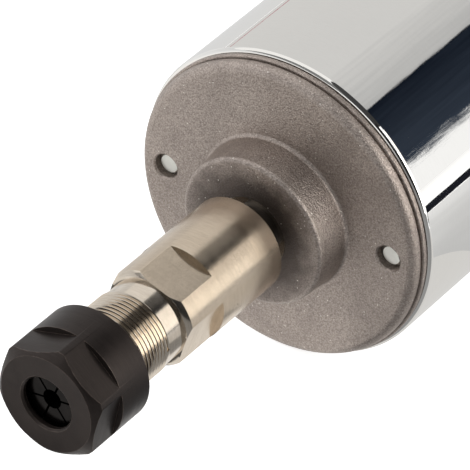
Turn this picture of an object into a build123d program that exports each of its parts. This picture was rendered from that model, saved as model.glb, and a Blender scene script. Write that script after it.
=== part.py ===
from build123d import *
from math import cos, radians, sin, tan
import os

# Air-cooled brushed spindle motor with an ER11 collet chuck, in millimetres.
# Every piece is drawn about the spindle axis, Z, at a station measured from the front
# edge of the can: positive towards the collet nut, negative towards the fan. At the end
# the whole spindle is laid down, with its axis along Y, its nut facing -Y and the origin
# at the front end of the can's straight side, which is what a clamp holds.

# ---- driving dimensions -------------------------------------------------------------

# fits and clearances
RUNNING_GAP = 0.05          # shaft in bore, thread on thread, brush on commutator
SEAT_GAP = 0.05             # cone in cone, at rest
SLIP_GAP = 0.1              # bolts and inserts in their holes
SIDE_GAP = 0.3              # turning piece beside a fixed one
OVERCUT = 1.0               # cutters and joined forms run past a face by this much

# can
CAN_OD = 52.0
CAN_WALL = 3.0
CAN_LENGTH = 110.0
CAN_EDGE_ROUND = 1.2

# front cap
FLANGE_INSET = 0.6          # can's side to the flange's rim
FLANGE_THICKNESS = 0.9
FLANGE_ROUND = 0.25
CAP_GROOVE_WIDTH = 0.3
CAP_GROOVE_DEPTH = 0.45
CAP_INSET = 1.0             # can's side to the cap's shoulder
CAP_FACE = 2.9              # station of the flat face
CAP_SHOULDER_ROUND = 1.5
CAP_FLOOR = 3.4             # metal behind the flat face
BOSS_ROOT_D = 25.8
BOSS_TOP_D = 24.9
BOSS_HEIGHT = 6.3
BOSS_EDGE_ROUND = 0.7
BOSS_ROOT_ROUND = 0.6
BOSS_LIP = 1.2              # metal in front of the bearing
BOSS_HOLE_D = 12.0
SPIGOT_DEPTH = 5.0
SPIGOT_WALL = 5.3
CAP_RIB_COUNT = 8
CAP_RIB_WIDTH = 2.0
CAP_RIB_DEPTH = 3.0
CAP_HUB_REACH = 1.0         # hub stands behind the cap's floor by this much
HUB_WALL = 2.5              # metal round each bearing, inside the motor

# tie bolts
BOLT_D = 4.0
BOLT_INSET = 2.7            # can's bore to the bolts' middle
BOLT_TIP_RECESS = 1.0
BOLT_TIP_CHAMFER = 0.5
BOLT_HEAD_D = 7.0
BOLT_HEAD_HEIGHT = 4.0
BOLT_SOCKET_AF = 3.0
BOLT_SOCKET_DEPTH = 2.0
BOLT_HOLE_CHAMFER = 0.25
WASHER_OD = 7.0
WASHER_THICKNESS = 0.8

# ball bearings, 8 x 22 x 7
BEARING_BORE = 8.0
BEARING_OD = 22.0
BEARING_WIDTH = 7.0
BEARING_PITCH_D = 15.2
BALL_D = 3.8
BALL_COUNT = 7
INNER_RING_OD = 12.6
OUTER_RING_BORE = 18.0
CAGE_BORE = 13.8
CAGE_OD = 16.8
CAGE_WIDTH = 5.2
SHIELD_THICKNESS = 0.3
SHIELD_INSET = 0.2
RING_CHAMFER = 0.3
SPRING_WASHER_BORE = 17.0
SPRING_WASHER_THICKNESS = 0.3
SPRING_WASHER_HEIGHT = 0.8

# magnets
MAGNET_THICKNESS = 4.8
MAGNET_ARC = 132.0
MAGNET_OVERHANG = 3.0       # past each end of the core
AIR_GAP = 0.7               # magnets to core

# rotor
SHAFT_MIDDLE_D = 10.0
SHAFT_CHAMFER = 0.5
CORE_SETBACK = 30.0         # can's front edge to the core
CORE_REAR_SETBACK = 20.0    # can's rear edge to the core
SLOT_COUNT = 12
SLOT_LIP = 2.2              # core's rim to the round of a slot
SLOT_MOUTH = 2.0
TOOTH_WIDTH = 1.9           # iron between two slots
SLOT_LINING = 0.15
END_DISC_THICKNESS = 1.2
END_DISC_INSET = 1.2        # core's rim to the discs' rim
OVERHANG_LENGTH = 12.0
OVERHANG_INSET = 1.5        # core's rim to the wound bundles
OVERHANG_BORE = 15.0
OVERHANG_ROUND = 3.5
COMMUTATOR_OD = 20.0
COMMUTATOR_LENGTH = 11.0
COMMUTATOR_BARS = 24
COMMUTATOR_BAR_DEPTH = 2.5
COMMUTATOR_CUT = 0.6
RISER_OD = 23.0
RISER_LENGTH = 2.0
COMMUTATOR_TO_HUB = 1.5

# rear bell
BELL_INSET = 0.5            # can's side to the bell and the fan cover
BELL_WALL = 3.0
BELL_LENGTH = 23.0
BELL_ROUND = 1.0
BELL_LIP = 1.5
BELL_HOLE_D = 17.0
BELL_SPIGOT_ROOT = 2.0
BOLT_PILLAR_D = 7.6
BRUSH_BOSS_D = 15.0
BRUSH_BOSS_REACH = 14.2     # axis to the inner end of the boss

# brush gear
BRUSH_STATION = 7.5         # behind the can's rear edge
BRUSH_WIDTH = 6.0           # across the motor
BRUSH_THICKNESS = 5.0       # along the motor
BRUSH_GAP = 0.1
SLEEVE_WALL = 0.7
SLEEVE_REACH = 11.3         # axis to the sleeve's inner end
SLEEVE_STOP = 0.6           # insulator's web between sleeve and cap
INSULATOR_D = 12.0
BRUSH_CAP_D = 9.0
BRUSH_CAP_THICKNESS = 2.4
BRUSH_CAP_RISE = 0.4        # stands out of the bell by this much
BRUSH_CAP_SLOT = 1.2
BRUSH_CAP_SLOT_DEPTH = 1.0
SPRING_LENGTH = 4.45        # brush to cap, with a new brush
SPRING_OD = 4.0
SPRING_WIRE = 0.5
SPRING_TURNS = 3.5

# terminals
TAB_WIDTH = 6.3
TAB_THICKNESS = 0.8
TAB_REACH = 9.0             # stands out of the fan cover by this much
TAB_INSET = 6.0             # bell's side to the middle of the tab
TAB_HOLE_D = 1.8
TAB_CHAMFER = 1.2
BUSH_WALL = 0.9

# fan and its cover
FAN_TO_HEADS = 0.8          # fan's rim to the tie bolts' heads
FAN_WIDTH = 6.5
FAN_HUB_D = 13.0
FAN_DISC = 1.2
FAN_BLADES = 9
FAN_BLADE_THICKNESS = 1.2
FAN_BLADE_ROOT = 0.5        # blades start this far inside the hub
FAN_SETBACK = 2.5           # bell's rear face to the fan
CLIP_OD = 12.0
CLIP_THICKNESS = 0.8
CLIP_GROOVE = 0.4
COVER_WALL = 1.6
COVER_LENGTH = 14.5
COVER_END = 2.2
COVER_ROUND = 2.0
END_VENT_COUNT = 12
END_VENT_WIDTH = 2.6
END_VENT_IN = 7.5           # axis to a vent's inner end
SIDE_VENT_COUNT = 24
SIDE_VENT_WIDTH = 3.0
SIDE_VENT_LENGTH = 7.5
SIDE_VENT_START = 3.0       # ahead of this the cover's wall is whole
COVER_SCREW_D = 3.0
COVER_SCREW_INSET = 5.3     # cover's side to the screws' middle
COVER_SCREW_BITE = 3.0      # runs this far into the bell
SCREW_TIP_ROOM = 1.0        # hole past the screw's end
COVER_SCREW_HEAD_D = 5.4
COVER_SCREW_HEAD = 1.6
COVER_SCREW_SLOT = 0.8
COVER_SCREW_TURN = 45.0     # degrees about the axis
COVER_PILLAR_D = 6.4

# spindle rod
ROD_D = 16.0
ROD_REAR = 12.1             # station of its rear end
ROD_SHOULDER = 35.7         # station of the shoulder behind the neck
ROD_FRONT = 54.8            # station of its nose
ROD_CHAMFER = 0.7
ROD_SOCKET_DEPTH = 22.0     # motor shaft's length inside the rod
FLAT_ACROSS = 14.0
FLAT_LENGTH = 8.3
FLAT_TURN = 72.0            # degrees about the axis
FLAT_COUNT = 4
NECK_D = 13.5
NECK_LENGTH = 3.6
THREAD_D = 14.0
THREAD_CHAMFER = 0.5
SEAT_RELIEF_D = 8.2
SEAT_RELIEF_DEPTH = 4.0

# collet
COLLET_D = 11.5
COLLET_LENGTH = 18.0
COLLET_FACE = 58.5          # station of its front face
COLLET_TAPER = 8.0          # degrees each side
COLLET_NOSE_ANGLE = 30.0    # degrees each side
COLLET_NOSE_DROP = 1.0      # radius lost over the front cone
COLLET_LAND = 0.4
COLLET_GROOVE_WIDTH = 1.2
COLLET_GROOVE_D = 9.5
COLLET_BORE = 3.175
COLLET_SLOTS = 6            # cut from each end in turn
COLLET_SLOT_WIDTH = 0.35
COLLET_SLOT_WEB = 3.0
COLLET_SLOT_TURN = 7.0      # degrees about the axis

# nut
NUT_OD = 19.0
NUT_FRONT = 60.0            # station of its front face
NUT_LENGTH = 12.5
NUT_ACROSS = 17.0
NUT_FLAT_LENGTH = 5.7
NUT_TURN = 47.0             # degrees about the axis to the middle of a flat
NUT_NOSE_LENGTH = 1.2
NUT_NOSE_DROP = 1.5
NUT_REAR_CHAMFER = 0.4
NUT_MOUTH_D = 8.6
NUT_MOUTH_CHAMFER = 0.3
NUT_LIP = 0.9
NUT_RIDGE = 0.6             # draw-out ridge that sits in the collet's groove
NUT_RIDGE_D = 10.5
NUT_RIDGE_OFFSET = 0.25

# ---- stations and radii that follow ---------------------------------------------------

can_r = CAN_OD / 2
can_bore_r = can_r - CAN_WALL
cap_r = can_r - CAP_INSET
bolt_circle_r = can_bore_r - BOLT_INSET
boss_top = CAP_FACE + BOSS_HEIGHT
bearing_r = BEARING_OD / 2
shaft_r = BEARING_BORE / 2
front_bearing_rear = boss_top - BOSS_LIP - BEARING_WIDTH
front_bearing_middle = front_bearing_rear + BEARING_WIDTH / 2
cap_floor = CAP_FACE - CAP_FLOOR

can_rear = -CAN_LENGTH
bell_rear = can_rear - BELL_LENGTH
rear_pocket_end = bell_rear + BELL_LIP
rear_bearing_rear = rear_pocket_end + SPRING_WASHER_HEIGHT
rear_bearing_front = rear_bearing_rear + BEARING_WIDTH
rear_bearing_middle = rear_bearing_rear + BEARING_WIDTH / 2

core_r = can_bore_r - MAGNET_THICKNESS - AIR_GAP
core_front = -CORE_SETBACK
core_rear = can_rear + CORE_REAR_SETBACK
slot_circle_r = (core_r - SLOT_LIP + TOOTH_WIDTH / 2) / (1 + sin(radians(180 / SLOT_COUNT)))
slot_round_r = core_r - SLOT_LIP - slot_circle_r
commutator_rear = rear_bearing_front + COMMUTATOR_TO_HUB
commutator_front = commutator_rear + COMMUTATOR_LENGTH
riser_front = commutator_front + RISER_LENGTH
commutator_r = COMMUTATOR_OD / 2

bell_r = can_r - BELL_INSET
brush_station = can_rear - BRUSH_STATION
brush_foot = commutator_r + RUNNING_GAP
brush_cap_foot = bell_r + BRUSH_CAP_RISE - BRUSH_CAP_THICKNESS
brush_top = brush_cap_foot - SPRING_LENGTH
sleeve_top = brush_cap_foot - SLEEVE_STOP
sleeve_x = BRUSH_WIDTH + 2 * BRUSH_GAP + 2 * SLEEVE_WALL
sleeve_z = BRUSH_THICKNESS + 2 * BRUSH_GAP + 2 * SLEEVE_WALL
tab_front = brush_station - sleeve_z / 2
tab_height = bell_r - TAB_INSET
cover_screw_r = bell_r - COVER_SCREW_INSET
fan_r = bolt_circle_r - BOLT_HEAD_D / 2 - FAN_TO_HEADS

fan_front = bell_rear - FAN_SETBACK
fan_rear = fan_front - FAN_WIDTH
clip_rear = fan_rear - CLIP_THICKNESS
shaft_rear = clip_rear - 2 * SHAFT_CHAMFER
cover_rear = bell_rear - COVER_LENGTH
tab_rear = cover_rear - TAB_REACH

rod_r = ROD_D / 2
shaft_front = ROD_REAR + ROD_SOCKET_DEPTH
neck_front = ROD_SHOULDER + NECK_LENGTH
thread_r = THREAD_D / 2
collet_r = COLLET_D / 2
collet_rear = COLLET_FACE - COLLET_LENGTH
nose_length = COLLET_NOSE_DROP / tan(radians(COLLET_NOSE_ANGLE))
groove_front = COLLET_FACE - nose_length - COLLET_LAND
groove_rear = groove_front - COLLET_GROOVE_WIDTH
collet_rear_r = collet_r - (groove_rear - collet_rear) * tan(radians(COLLET_TAPER))
nut_rear = NUT_FRONT - NUT_LENGTH
nut_r = NUT_OD / 2


# ---- helpers --------------------------------------------------------------------------

def turned(*outline):
    """A ring or shaft turned about the spindle axis from (radius, station) corners."""
    corners = [(radius, 0, station) for radius, station in outline]
    return revolve(make_face(Polyline(*corners, close=True)), Axis.Z)


def tube(outer_r, inner_r, rear, front):
    return turned((inner_r, rear), (outer_r, rear), (outer_r, front), (inner_r, front))


def rod(radius, rear, front, x=0, y=0):
    """A plain cylinder along the spindle axis, from station rear to station front."""
    return Pos(x, y, (rear + front) / 2) * Cylinder(radius, front - rear)


def radial_rod(radius, inner, outer, station):
    """A plain cylinder that stands out along +Y at a station."""
    return Pos(0, (inner + outer) / 2, station) * Rot(90, 0, 0) * Cylinder(radius, outer - inner)


def radial_bar(width, thickness, inner, outer, station):
    """A square bar that stands out along +Y at a station."""
    return Pos(0, (inner + outer) / 2, station) * Box(width, outer - inner, thickness)


def rims(solid, radius, station):
    """The circular edges of a turned solid at one radius and station."""
    circles = solid.edges().filter_by(GeomType.CIRCLE)
    near = 0.02
    return [e for e in circles
            if abs(e.radius - radius) < near and abs(e.arc_center.Z - station) < near]


def around(piece, count, first=0.0):
    """Copies of a piece, evenly spaced about the spindle axis."""
    return [Rot(0, 0, first + 360 / count * i) * piece for i in range(count)]


def opposite(piece):
    """A piece and its copy on the other side of the axis."""
    return [Rot(0, 0, turn) * piece for turn in (0, 180)]


# ---- can and caps -----------------------------------------------------------------------

def can_tube():
    can = tube(can_r, can_bore_r, can_rear, 0)
    ends = rims(can, can_r, 0) + rims(can, can_r, can_rear)
    return fillet(ends, CAN_EDGE_ROUND)


def front_cap():
    """Die-cast cap: flange on the can's edge, stepped shoulder, boss round the bearing."""
    flange_r = can_r - FLANGE_INSET
    groove_front_station = FLANGE_THICKNESS + CAP_GROOVE_WIDTH
    groove_r = cap_r - CAP_GROOVE_DEPTH
    hole_r = BOSS_HOLE_D / 2
    spigot_in = can_bore_r - SPIGOT_WALL
    hub_r = bearing_r + HUB_WALL
    cap = turned(
        (hole_r, boss_top), (BOSS_TOP_D / 2, boss_top), (BOSS_ROOT_D / 2, CAP_FACE),
        (cap_r, CAP_FACE), (cap_r, groove_front_station), (groove_r, groove_front_station),
        (groove_r, FLANGE_THICKNESS), (flange_r, FLANGE_THICKNESS), (flange_r, 0),
        (can_bore_r, 0), (can_bore_r, -SPIGOT_DEPTH), (spigot_in, -SPIGOT_DEPTH),
        (spigot_in, cap_floor), (hub_r, cap_floor), (hub_r, cap_floor - CAP_HUB_REACH),
        (bearing_r, cap_floor - CAP_HUB_REACH), (bearing_r, boss_top - BOSS_LIP),
        (hole_r, boss_top - BOSS_LIP))
    cap = fillet(rims(cap, cap_r, CAP_FACE), CAP_SHOULDER_ROUND)
    cap = fillet(rims(cap, BOSS_ROOT_D / 2, CAP_FACE), BOSS_ROOT_ROUND)
    cap = fillet(rims(cap, BOSS_TOP_D / 2, boss_top), BOSS_EDGE_ROUND)
    cap = fillet(rims(cap, flange_r, FLANGE_THICKNESS), FLANGE_ROUND)
    rib_length = spigot_in - hub_r + 2 * OVERCUT
    rib = Pos((spigot_in + hub_r) / 2, 0, cap_floor - CAP_RIB_DEPTH / 2)
    rib = rib * Box(rib_length, CAP_RIB_WIDTH, CAP_RIB_DEPTH)
    cap = cap + around(rib, CAP_RIB_COUNT, 180 / CAP_RIB_COUNT)
    cap = cap - rod(bearing_r, cap_floor - CAP_RIB_DEPTH - OVERCUT, front_bearing_rear)
    hole = rod(BOLT_D / 2 + RUNNING_GAP, -SPIGOT_DEPTH - OVERCUT, boss_top, bolt_circle_r)
    cap = cap - opposite(hole)
    mouth = Pos(bolt_circle_r, 0, CAP_FACE - BOLT_HOLE_CHAMFER / 2) * Cone(
        BOLT_D / 2 + RUNNING_GAP, BOLT_D / 2 + RUNNING_GAP + BOLT_HOLE_CHAMFER, BOLT_HOLE_CHAMFER)
    return cap - opposite(mouth)


def rear_bell():
    """Die-cast cup on the can's rear edge: bearing hub, bolt pillars and brush bosses."""
    inside_r = bell_r - BELL_WALL
    inside_rear = bell_rear + BELL_WALL
    hub_r = bearing_r + HUB_WALL
    spigot_in = can_bore_r - SPIGOT_WALL
    spigot_root = can_rear - BELL_SPIGOT_ROOT
    shaft_hole_r = BELL_HOLE_D / 2
    bell = turned(
        (can_bore_r, can_rear + SPIGOT_DEPTH), (can_bore_r, can_rear), (bell_r, can_rear),
        (bell_r, bell_rear), (shaft_hole_r, bell_rear), (shaft_hole_r, rear_pocket_end),
        (bearing_r, rear_pocket_end), (bearing_r, rear_bearing_front), (hub_r, rear_bearing_front),
        (hub_r, inside_rear), (inside_r, inside_rear), (inside_r, spigot_root),
        (spigot_in, spigot_root), (spigot_in, can_rear + SPIGOT_DEPTH))
    bell = fillet(rims(bell, bell_r, bell_rear), BELL_ROUND)
    pillar = rod(BOLT_PILLAR_D / 2, inside_rear, spigot_root, bolt_circle_r)
    boss = radial_rod(BRUSH_BOSS_D / 2, BRUSH_BOSS_REACH, bell_r, brush_station)
    room = rod(bell_r - BELL_WALL / 2, inside_rear - BELL_WALL / 2, can_rear)
    bell = bell + [piece & room for piece in opposite(pillar) + opposite(boss)]
    hole_rear = bell_rear - OVERCUT
    bolt_hole = rod(
        BOLT_D / 2 + SLIP_GAP, hole_rear, can_rear + SPIGOT_DEPTH + OVERCUT, bolt_circle_r)
    brush_hole = radial_rod(
        INSULATOR_D / 2, BRUSH_BOSS_REACH - OVERCUT, bell_r + OVERCUT, brush_station)
    tab_slot = Pos(0, tab_height, (hole_rear + brush_station) / 2) * Box(
        TAB_WIDTH + 2 * BUSH_WALL, TAB_THICKNESS + 2 * BUSH_WALL, brush_station - hole_rear)
    screw_hole = Rot(0, 0, COVER_SCREW_TURN) * rod(
        COVER_SCREW_D / 2, hole_rear, bell_rear + COVER_SCREW_BITE + SCREW_TIP_ROOM, cover_screw_r)
    for hole in (bolt_hole, brush_hole, tab_slot, screw_hole):
        bell = bell - opposite(hole)
    return bell


def tie_bolts():
    """Two long cap screws: heads on the bell's rear face, tips in the front cap."""
    radius = BOLT_D / 2
    head_front = bell_rear - WASHER_THICKNESS
    head_rear = head_front - BOLT_HEAD_HEIGHT
    tip = CAP_FACE - BOLT_TIP_RECESS
    shank = rod(radius, head_front, tip)
    shank = chamfer(rims(shank, radius, tip), BOLT_TIP_CHAMFER)
    head = rod(BOLT_HEAD_D / 2, head_rear, head_front)
    head = chamfer(rims(head, BOLT_HEAD_D / 2, head_rear), BOLT_TIP_CHAMFER)
    socket = extrude(RegularPolygon(BOLT_SOCKET_AF / 2, 6, major_radius=False), BOLT_SOCKET_DEPTH)
    bolt = shank + head - Pos(0, 0, head_rear) * socket
    return Compound(opposite(Pos(bolt_circle_r, 0, 0) * bolt))


def bolt_washers():
    washer = tube(WASHER_OD / 2, BOLT_D / 2 + SLIP_GAP, bell_rear - WASHER_THICKNESS, bell_rear)
    return Compound(opposite(Pos(bolt_circle_r, 0, 0) * washer))


def magnet():
    """Arc magnet glued to the can's bore above the core."""
    shell = tube(can_bore_r, can_bore_r - MAGNET_THICKNESS,
                 core_rear - MAGNET_OVERHANG, core_front + MAGNET_OVERHANG)
    reach = 2 * CAN_OD
    half = radians(MAGNET_ARC / 2)
    corners = [(0, 0), (reach * sin(half), reach * cos(half)), (0, 3 * reach),
               (-reach * sin(half), reach * cos(half))]
    wedge = extrude(make_face(Polyline(*corners, close=True)), CAN_LENGTH, dir=(0, 0, -1))
    return shell & wedge


# ---- bearings ---------------------------------------------------------------------------

def ball_track(middle):
    """The round groove that the balls roll in, for cutting both rings at once."""
    section = Pos(BEARING_PITCH_D / 2, 0, middle) * Rot(90, 0, 0) * Circle(BALL_D / 2 + RUNNING_GAP)
    return revolve(section, Axis.Z)


def bearing(middle):
    """The five kinds of piece in one shielded ball bearing, by name."""
    rear = middle - BEARING_WIDTH / 2
    front = middle + BEARING_WIDTH / 2
    inner_ring_r = INNER_RING_OD / 2
    outer_ring_in = OUTER_RING_BORE / 2
    outer_ring = tube(bearing_r, outer_ring_in, rear, front)
    outer_ring = chamfer(rims(outer_ring, bearing_r, rear) + rims(outer_ring, bearing_r, front),
                         RING_CHAMFER)
    inner_ring = tube(inner_ring_r, shaft_r, rear, front)
    ball = Pos(0, BEARING_PITCH_D / 2, middle) * Sphere(BALL_D / 2)
    pocket = radial_rod(BALL_D / 2 + SLIP_GAP, inner_ring_r, bearing_r, middle)
    cage = tube(CAGE_OD / 2, CAGE_BORE / 2, middle - CAGE_WIDTH / 2, middle + CAGE_WIDTH / 2)
    shield_in = inner_ring_r + SIDE_GAP
    shields = [tube(outer_ring_in, shield_in, rear + SHIELD_INSET,
                    rear + SHIELD_INSET + SHIELD_THICKNESS),
               tube(outer_ring_in, shield_in, front - SHIELD_INSET - SHIELD_THICKNESS,
                    front - SHIELD_INSET)]
    return {"outer_ring": outer_ring - ball_track(middle),
            "inner_ring": inner_ring - ball_track(middle),
            "balls": Compound(around(ball, BALL_COUNT)),
            "cage": cage - around(pocket, BALL_COUNT),
            "shields": Compound(shields)}


def spring_washer():
    """Ring of spring strip bent about one diameter, between the rear bearing and the bell."""
    outer = bearing_r - SLIP_GAP
    sag = SPRING_WASHER_HEIGHT - SPRING_WASHER_THICKNESS
    bend_r = (outer ** 2 + sag ** 2) / (2 * sag)
    ring = tube(outer, SPRING_WASHER_BORE / 2, rear_pocket_end, rear_bearing_rear)
    centre = rear_pocket_end + SPRING_WASHER_THICKNESS + bend_r
    bend = Pos(0, 0, centre) * Rot(0, 90, 0)
    sheet = bend * Cylinder(bend_r + SPRING_WASHER_THICKNESS, BEARING_OD)
    return (ring & sheet) - bend * Cylinder(bend_r, 2 * BEARING_OD)


# ---- rotor ------------------------------------------------------------------------------

def motor_shaft():
    """One shaft from the fan's clip, through both bearings, to the spindle rod's socket."""
    middle_r = SHAFT_MIDDLE_D / 2
    groove_r = shaft_r - CLIP_GROOVE
    shaft = turned(
        (0, shaft_rear), (shaft_r, shaft_rear), (shaft_r, clip_rear), (groove_r, clip_rear),
        (groove_r, fan_rear), (shaft_r, fan_rear), (shaft_r, rear_bearing_front),
        (middle_r, rear_bearing_front), (middle_r, front_bearing_rear),
        (shaft_r, front_bearing_rear), (shaft_r, shaft_front), (0, shaft_front))
    return chamfer(rims(shaft, shaft_r, shaft_front) + rims(shaft, shaft_r, shaft_rear), SHAFT_CHAMFER)


def slot_form(rear, front):
    """The form of one winding slot, open at the core's rim, at +X."""
    reach = core_r + OVERCUT - slot_circle_r
    neck = Pos(slot_circle_r + reach / 2, 0, (rear + front) / 2) * Box(
        reach, SLOT_MOUTH, front - rear)
    return rod(slot_round_r, rear, front, slot_circle_r) + neck


def armature_core():
    """Stack of laminations with winding slots that open at the rim."""
    core = tube(core_r, SHAFT_MIDDLE_D / 2, core_rear, core_front)
    slot = slot_form(core_rear - OVERCUT, core_front + OVERCUT)
    return core - around(slot, SLOT_COUNT)


def end_discs():
    """Insulating discs on the core's two ends, slotted like the core."""
    disc_r = core_r - END_DISC_INSET
    discs = []
    for front in (core_front + END_DISC_THICKNESS, core_rear):
        rear = front - END_DISC_THICKNESS
        disc = tube(disc_r, SHAFT_MIDDLE_D / 2, rear, front)
        slot = slot_form(rear - OVERCUT, front + OVERCUT)
        discs.append(disc - around(slot, SLOT_COUNT))
    return Compound(discs)


def armature_windings():
    """Copper coils: a bar of wire in each slot, a bundle past each end, leads to the risers."""
    wire_r = slot_round_r - SLOT_LINING
    inner_r = OVERHANG_BORE / 2
    outer_r = core_r - OVERHANG_INSET
    rear = core_rear - END_DISC_THICKNESS
    front = core_front + END_DISC_THICKNESS
    bundle_front = front + OVERHANG_LENGTH
    front_bundle = tube(outer_r, inner_r, front, bundle_front)
    front_bundle = fillet(rims(front_bundle, outer_r, bundle_front), OVERHANG_ROUND)
    rear_bundle = turned(
        (inner_r, riser_front), (RISER_OD / 2, riser_front), (outer_r, rear - OVERHANG_LENGTH),
        (outer_r, rear), (inner_r, rear))
    rear_bundle = fillet(rims(rear_bundle, outer_r, rear - OVERHANG_LENGTH), OVERHANG_ROUND)
    bar = rod(wire_r, rear - OVERCUT, front + OVERCUT, slot_circle_r)
    return front_bundle + rear_bundle + around(bar, SLOT_COUNT)


def commutator():
    """Copper bars with their risers, parted by saw cuts, and the moulded hub under them."""
    bar_foot = commutator_r - COMMUTATOR_BAR_DEPTH
    ring = turned(
        (bar_foot, commutator_rear), (commutator_r, commutator_rear),
        (commutator_r, commutator_front), (RISER_OD / 2, commutator_front),
        (RISER_OD / 2, riser_front), (bar_foot, riser_front))
    length = riser_front - commutator_rear
    cut = Pos(RISER_OD / 2, 0, (riser_front + commutator_rear) / 2) * Box(
        RISER_OD, COMMUTATOR_CUT, length + 2 * OVERCUT)
    first = 180 / COMMUTATOR_BARS
    bars = ring - around(cut, COMMUTATOR_BARS, first)
    hub = tube(bar_foot, SHAFT_MIDDLE_D / 2, commutator_rear, riser_front)
    return bars, hub


def cooling_fan():
    """Moulded fan: hub, disc and straight blades."""
    hub_r = FAN_HUB_D / 2
    disc = tube(fan_r, shaft_r, fan_front - FAN_DISC, fan_front)
    hub = tube(hub_r, shaft_r, fan_rear, fan_front)
    blade_in = hub_r - FAN_BLADE_ROOT
    blade = Pos((blade_in + fan_r) / 2, 0, (fan_rear + fan_front) / 2) * Box(
        fan_r - blade_in, FAN_BLADE_THICKNESS, FAN_WIDTH)
    blades = [piece & rod(fan_r, fan_rear, fan_front) for piece in around(blade, FAN_BLADES)]
    return disc + hub + blades


def fan_clip():
    """Spring clip in the shaft's groove, open on one side."""
    ring = tube(CLIP_OD / 2, shaft_r - CLIP_GROOVE, clip_rear, fan_rear)
    gap = Pos(CLIP_OD / 2, 0, (clip_rear + fan_rear) / 2) * Box(CLIP_OD, shaft_r, 2 * CLIP_THICKNESS)
    return ring - gap


# ---- brush gear and terminals -------------------------------------------------------------

def brush():
    """Carbon block with its foot hollowed to the commutator."""
    block = radial_bar(
        BRUSH_WIDTH, BRUSH_THICKNESS, commutator_r - OVERCUT, brush_top, brush_station)
    return block - rod(brush_foot, brush_station - BRUSH_THICKNESS, brush_station + BRUSH_THICKNESS)


def brush_sleeve():
    outer = radial_bar(sleeve_x, sleeve_z, SLEEVE_REACH, sleeve_top, brush_station)
    inner = radial_bar(BRUSH_WIDTH + 2 * BRUSH_GAP, BRUSH_THICKNESS + 2 * BRUSH_GAP,
                       0, bell_r, brush_station)
    return outer - inner


def brush_insulator():
    """Moulded bush that holds the sleeve in the bell and takes the brush cap."""
    bush = radial_rod(INSULATOR_D / 2, BRUSH_BOSS_REACH, bell_r - BELL_ROUND / 2, brush_station)
    bush = bush - radial_bar(sleeve_x, sleeve_z, 0, sleeve_top, brush_station)
    bush = bush - radial_bar(BRUSH_WIDTH + 2 * BRUSH_GAP, BRUSH_THICKNESS + 2 * BRUSH_GAP,
                             0, bell_r, brush_station)
    bush = bush - radial_rod(BRUSH_CAP_D / 2, brush_cap_foot, bell_r + OVERCUT, brush_station)
    return bush - Pos(0, tab_height, brush_station - INSULATOR_D / 2) * Box(
        TAB_WIDTH, TAB_THICKNESS, INSULATOR_D)


def brush_cap():
    """Slotted plug that screws into the insulator over the spring."""
    outer = brush_cap_foot + BRUSH_CAP_THICKNESS
    cap = radial_rod(BRUSH_CAP_D / 2, brush_cap_foot, outer, brush_station)
    slot_floor = outer - BRUSH_CAP_SLOT_DEPTH
    return cap - radial_bar(
        BRUSH_CAP_D, BRUSH_CAP_SLOT, slot_floor, outer + OVERCUT, brush_station)


def brush_spring():
    """Coil spring between the brush and its cap."""
    height = SPRING_LENGTH - SPRING_WIRE
    coil_r = (SPRING_OD - SPRING_WIRE) / 2
    line = Helix(height / SPRING_TURNS, height, coil_r)
    section = Plane(origin=line @ 0, z_dir=line % 0) * Circle(SPRING_WIRE / 2)
    coil = sweep(section, path=line, is_frenet=True)
    return Pos(0, brush_top + SPRING_WIRE / 2, brush_station) * Rot(-90, 0, 0) * coil


def terminal_tab():
    """Brass strip from the brush sleeve, through the bell and the cover, to a blade."""
    length = tab_front - tab_rear
    tab = Pos(0, tab_height, (tab_front + tab_rear) / 2) * Box(TAB_WIDTH, TAB_THICKNESS, length)
    corners = tab.edges().filter_by(Axis.Y).group_by(Axis.Z)[0]
    tab = chamfer(corners, TAB_CHAMFER)
    hole = Pos(0, tab_height, tab_rear + TAB_REACH / 2) * Rot(90, 0, 0) * Cylinder(
        TAB_HOLE_D / 2, 2 * TAB_THICKNESS)
    return tab - hole


def terminal_bush():
    """Insulating bush round the tab where it passes through the bell's end wall."""
    front = bell_rear + BELL_WALL
    outer = Pos(0, tab_height, (front + bell_rear) / 2) * Box(
        TAB_WIDTH + 2 * BUSH_WALL, TAB_THICKNESS + 2 * BUSH_WALL, front - bell_rear)
    return outer - Pos(0, tab_height, bell_rear) * Box(TAB_WIDTH, TAB_THICKNESS, 3 * BELL_WALL)


# ---- fan cover --------------------------------------------------------------------------

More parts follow.
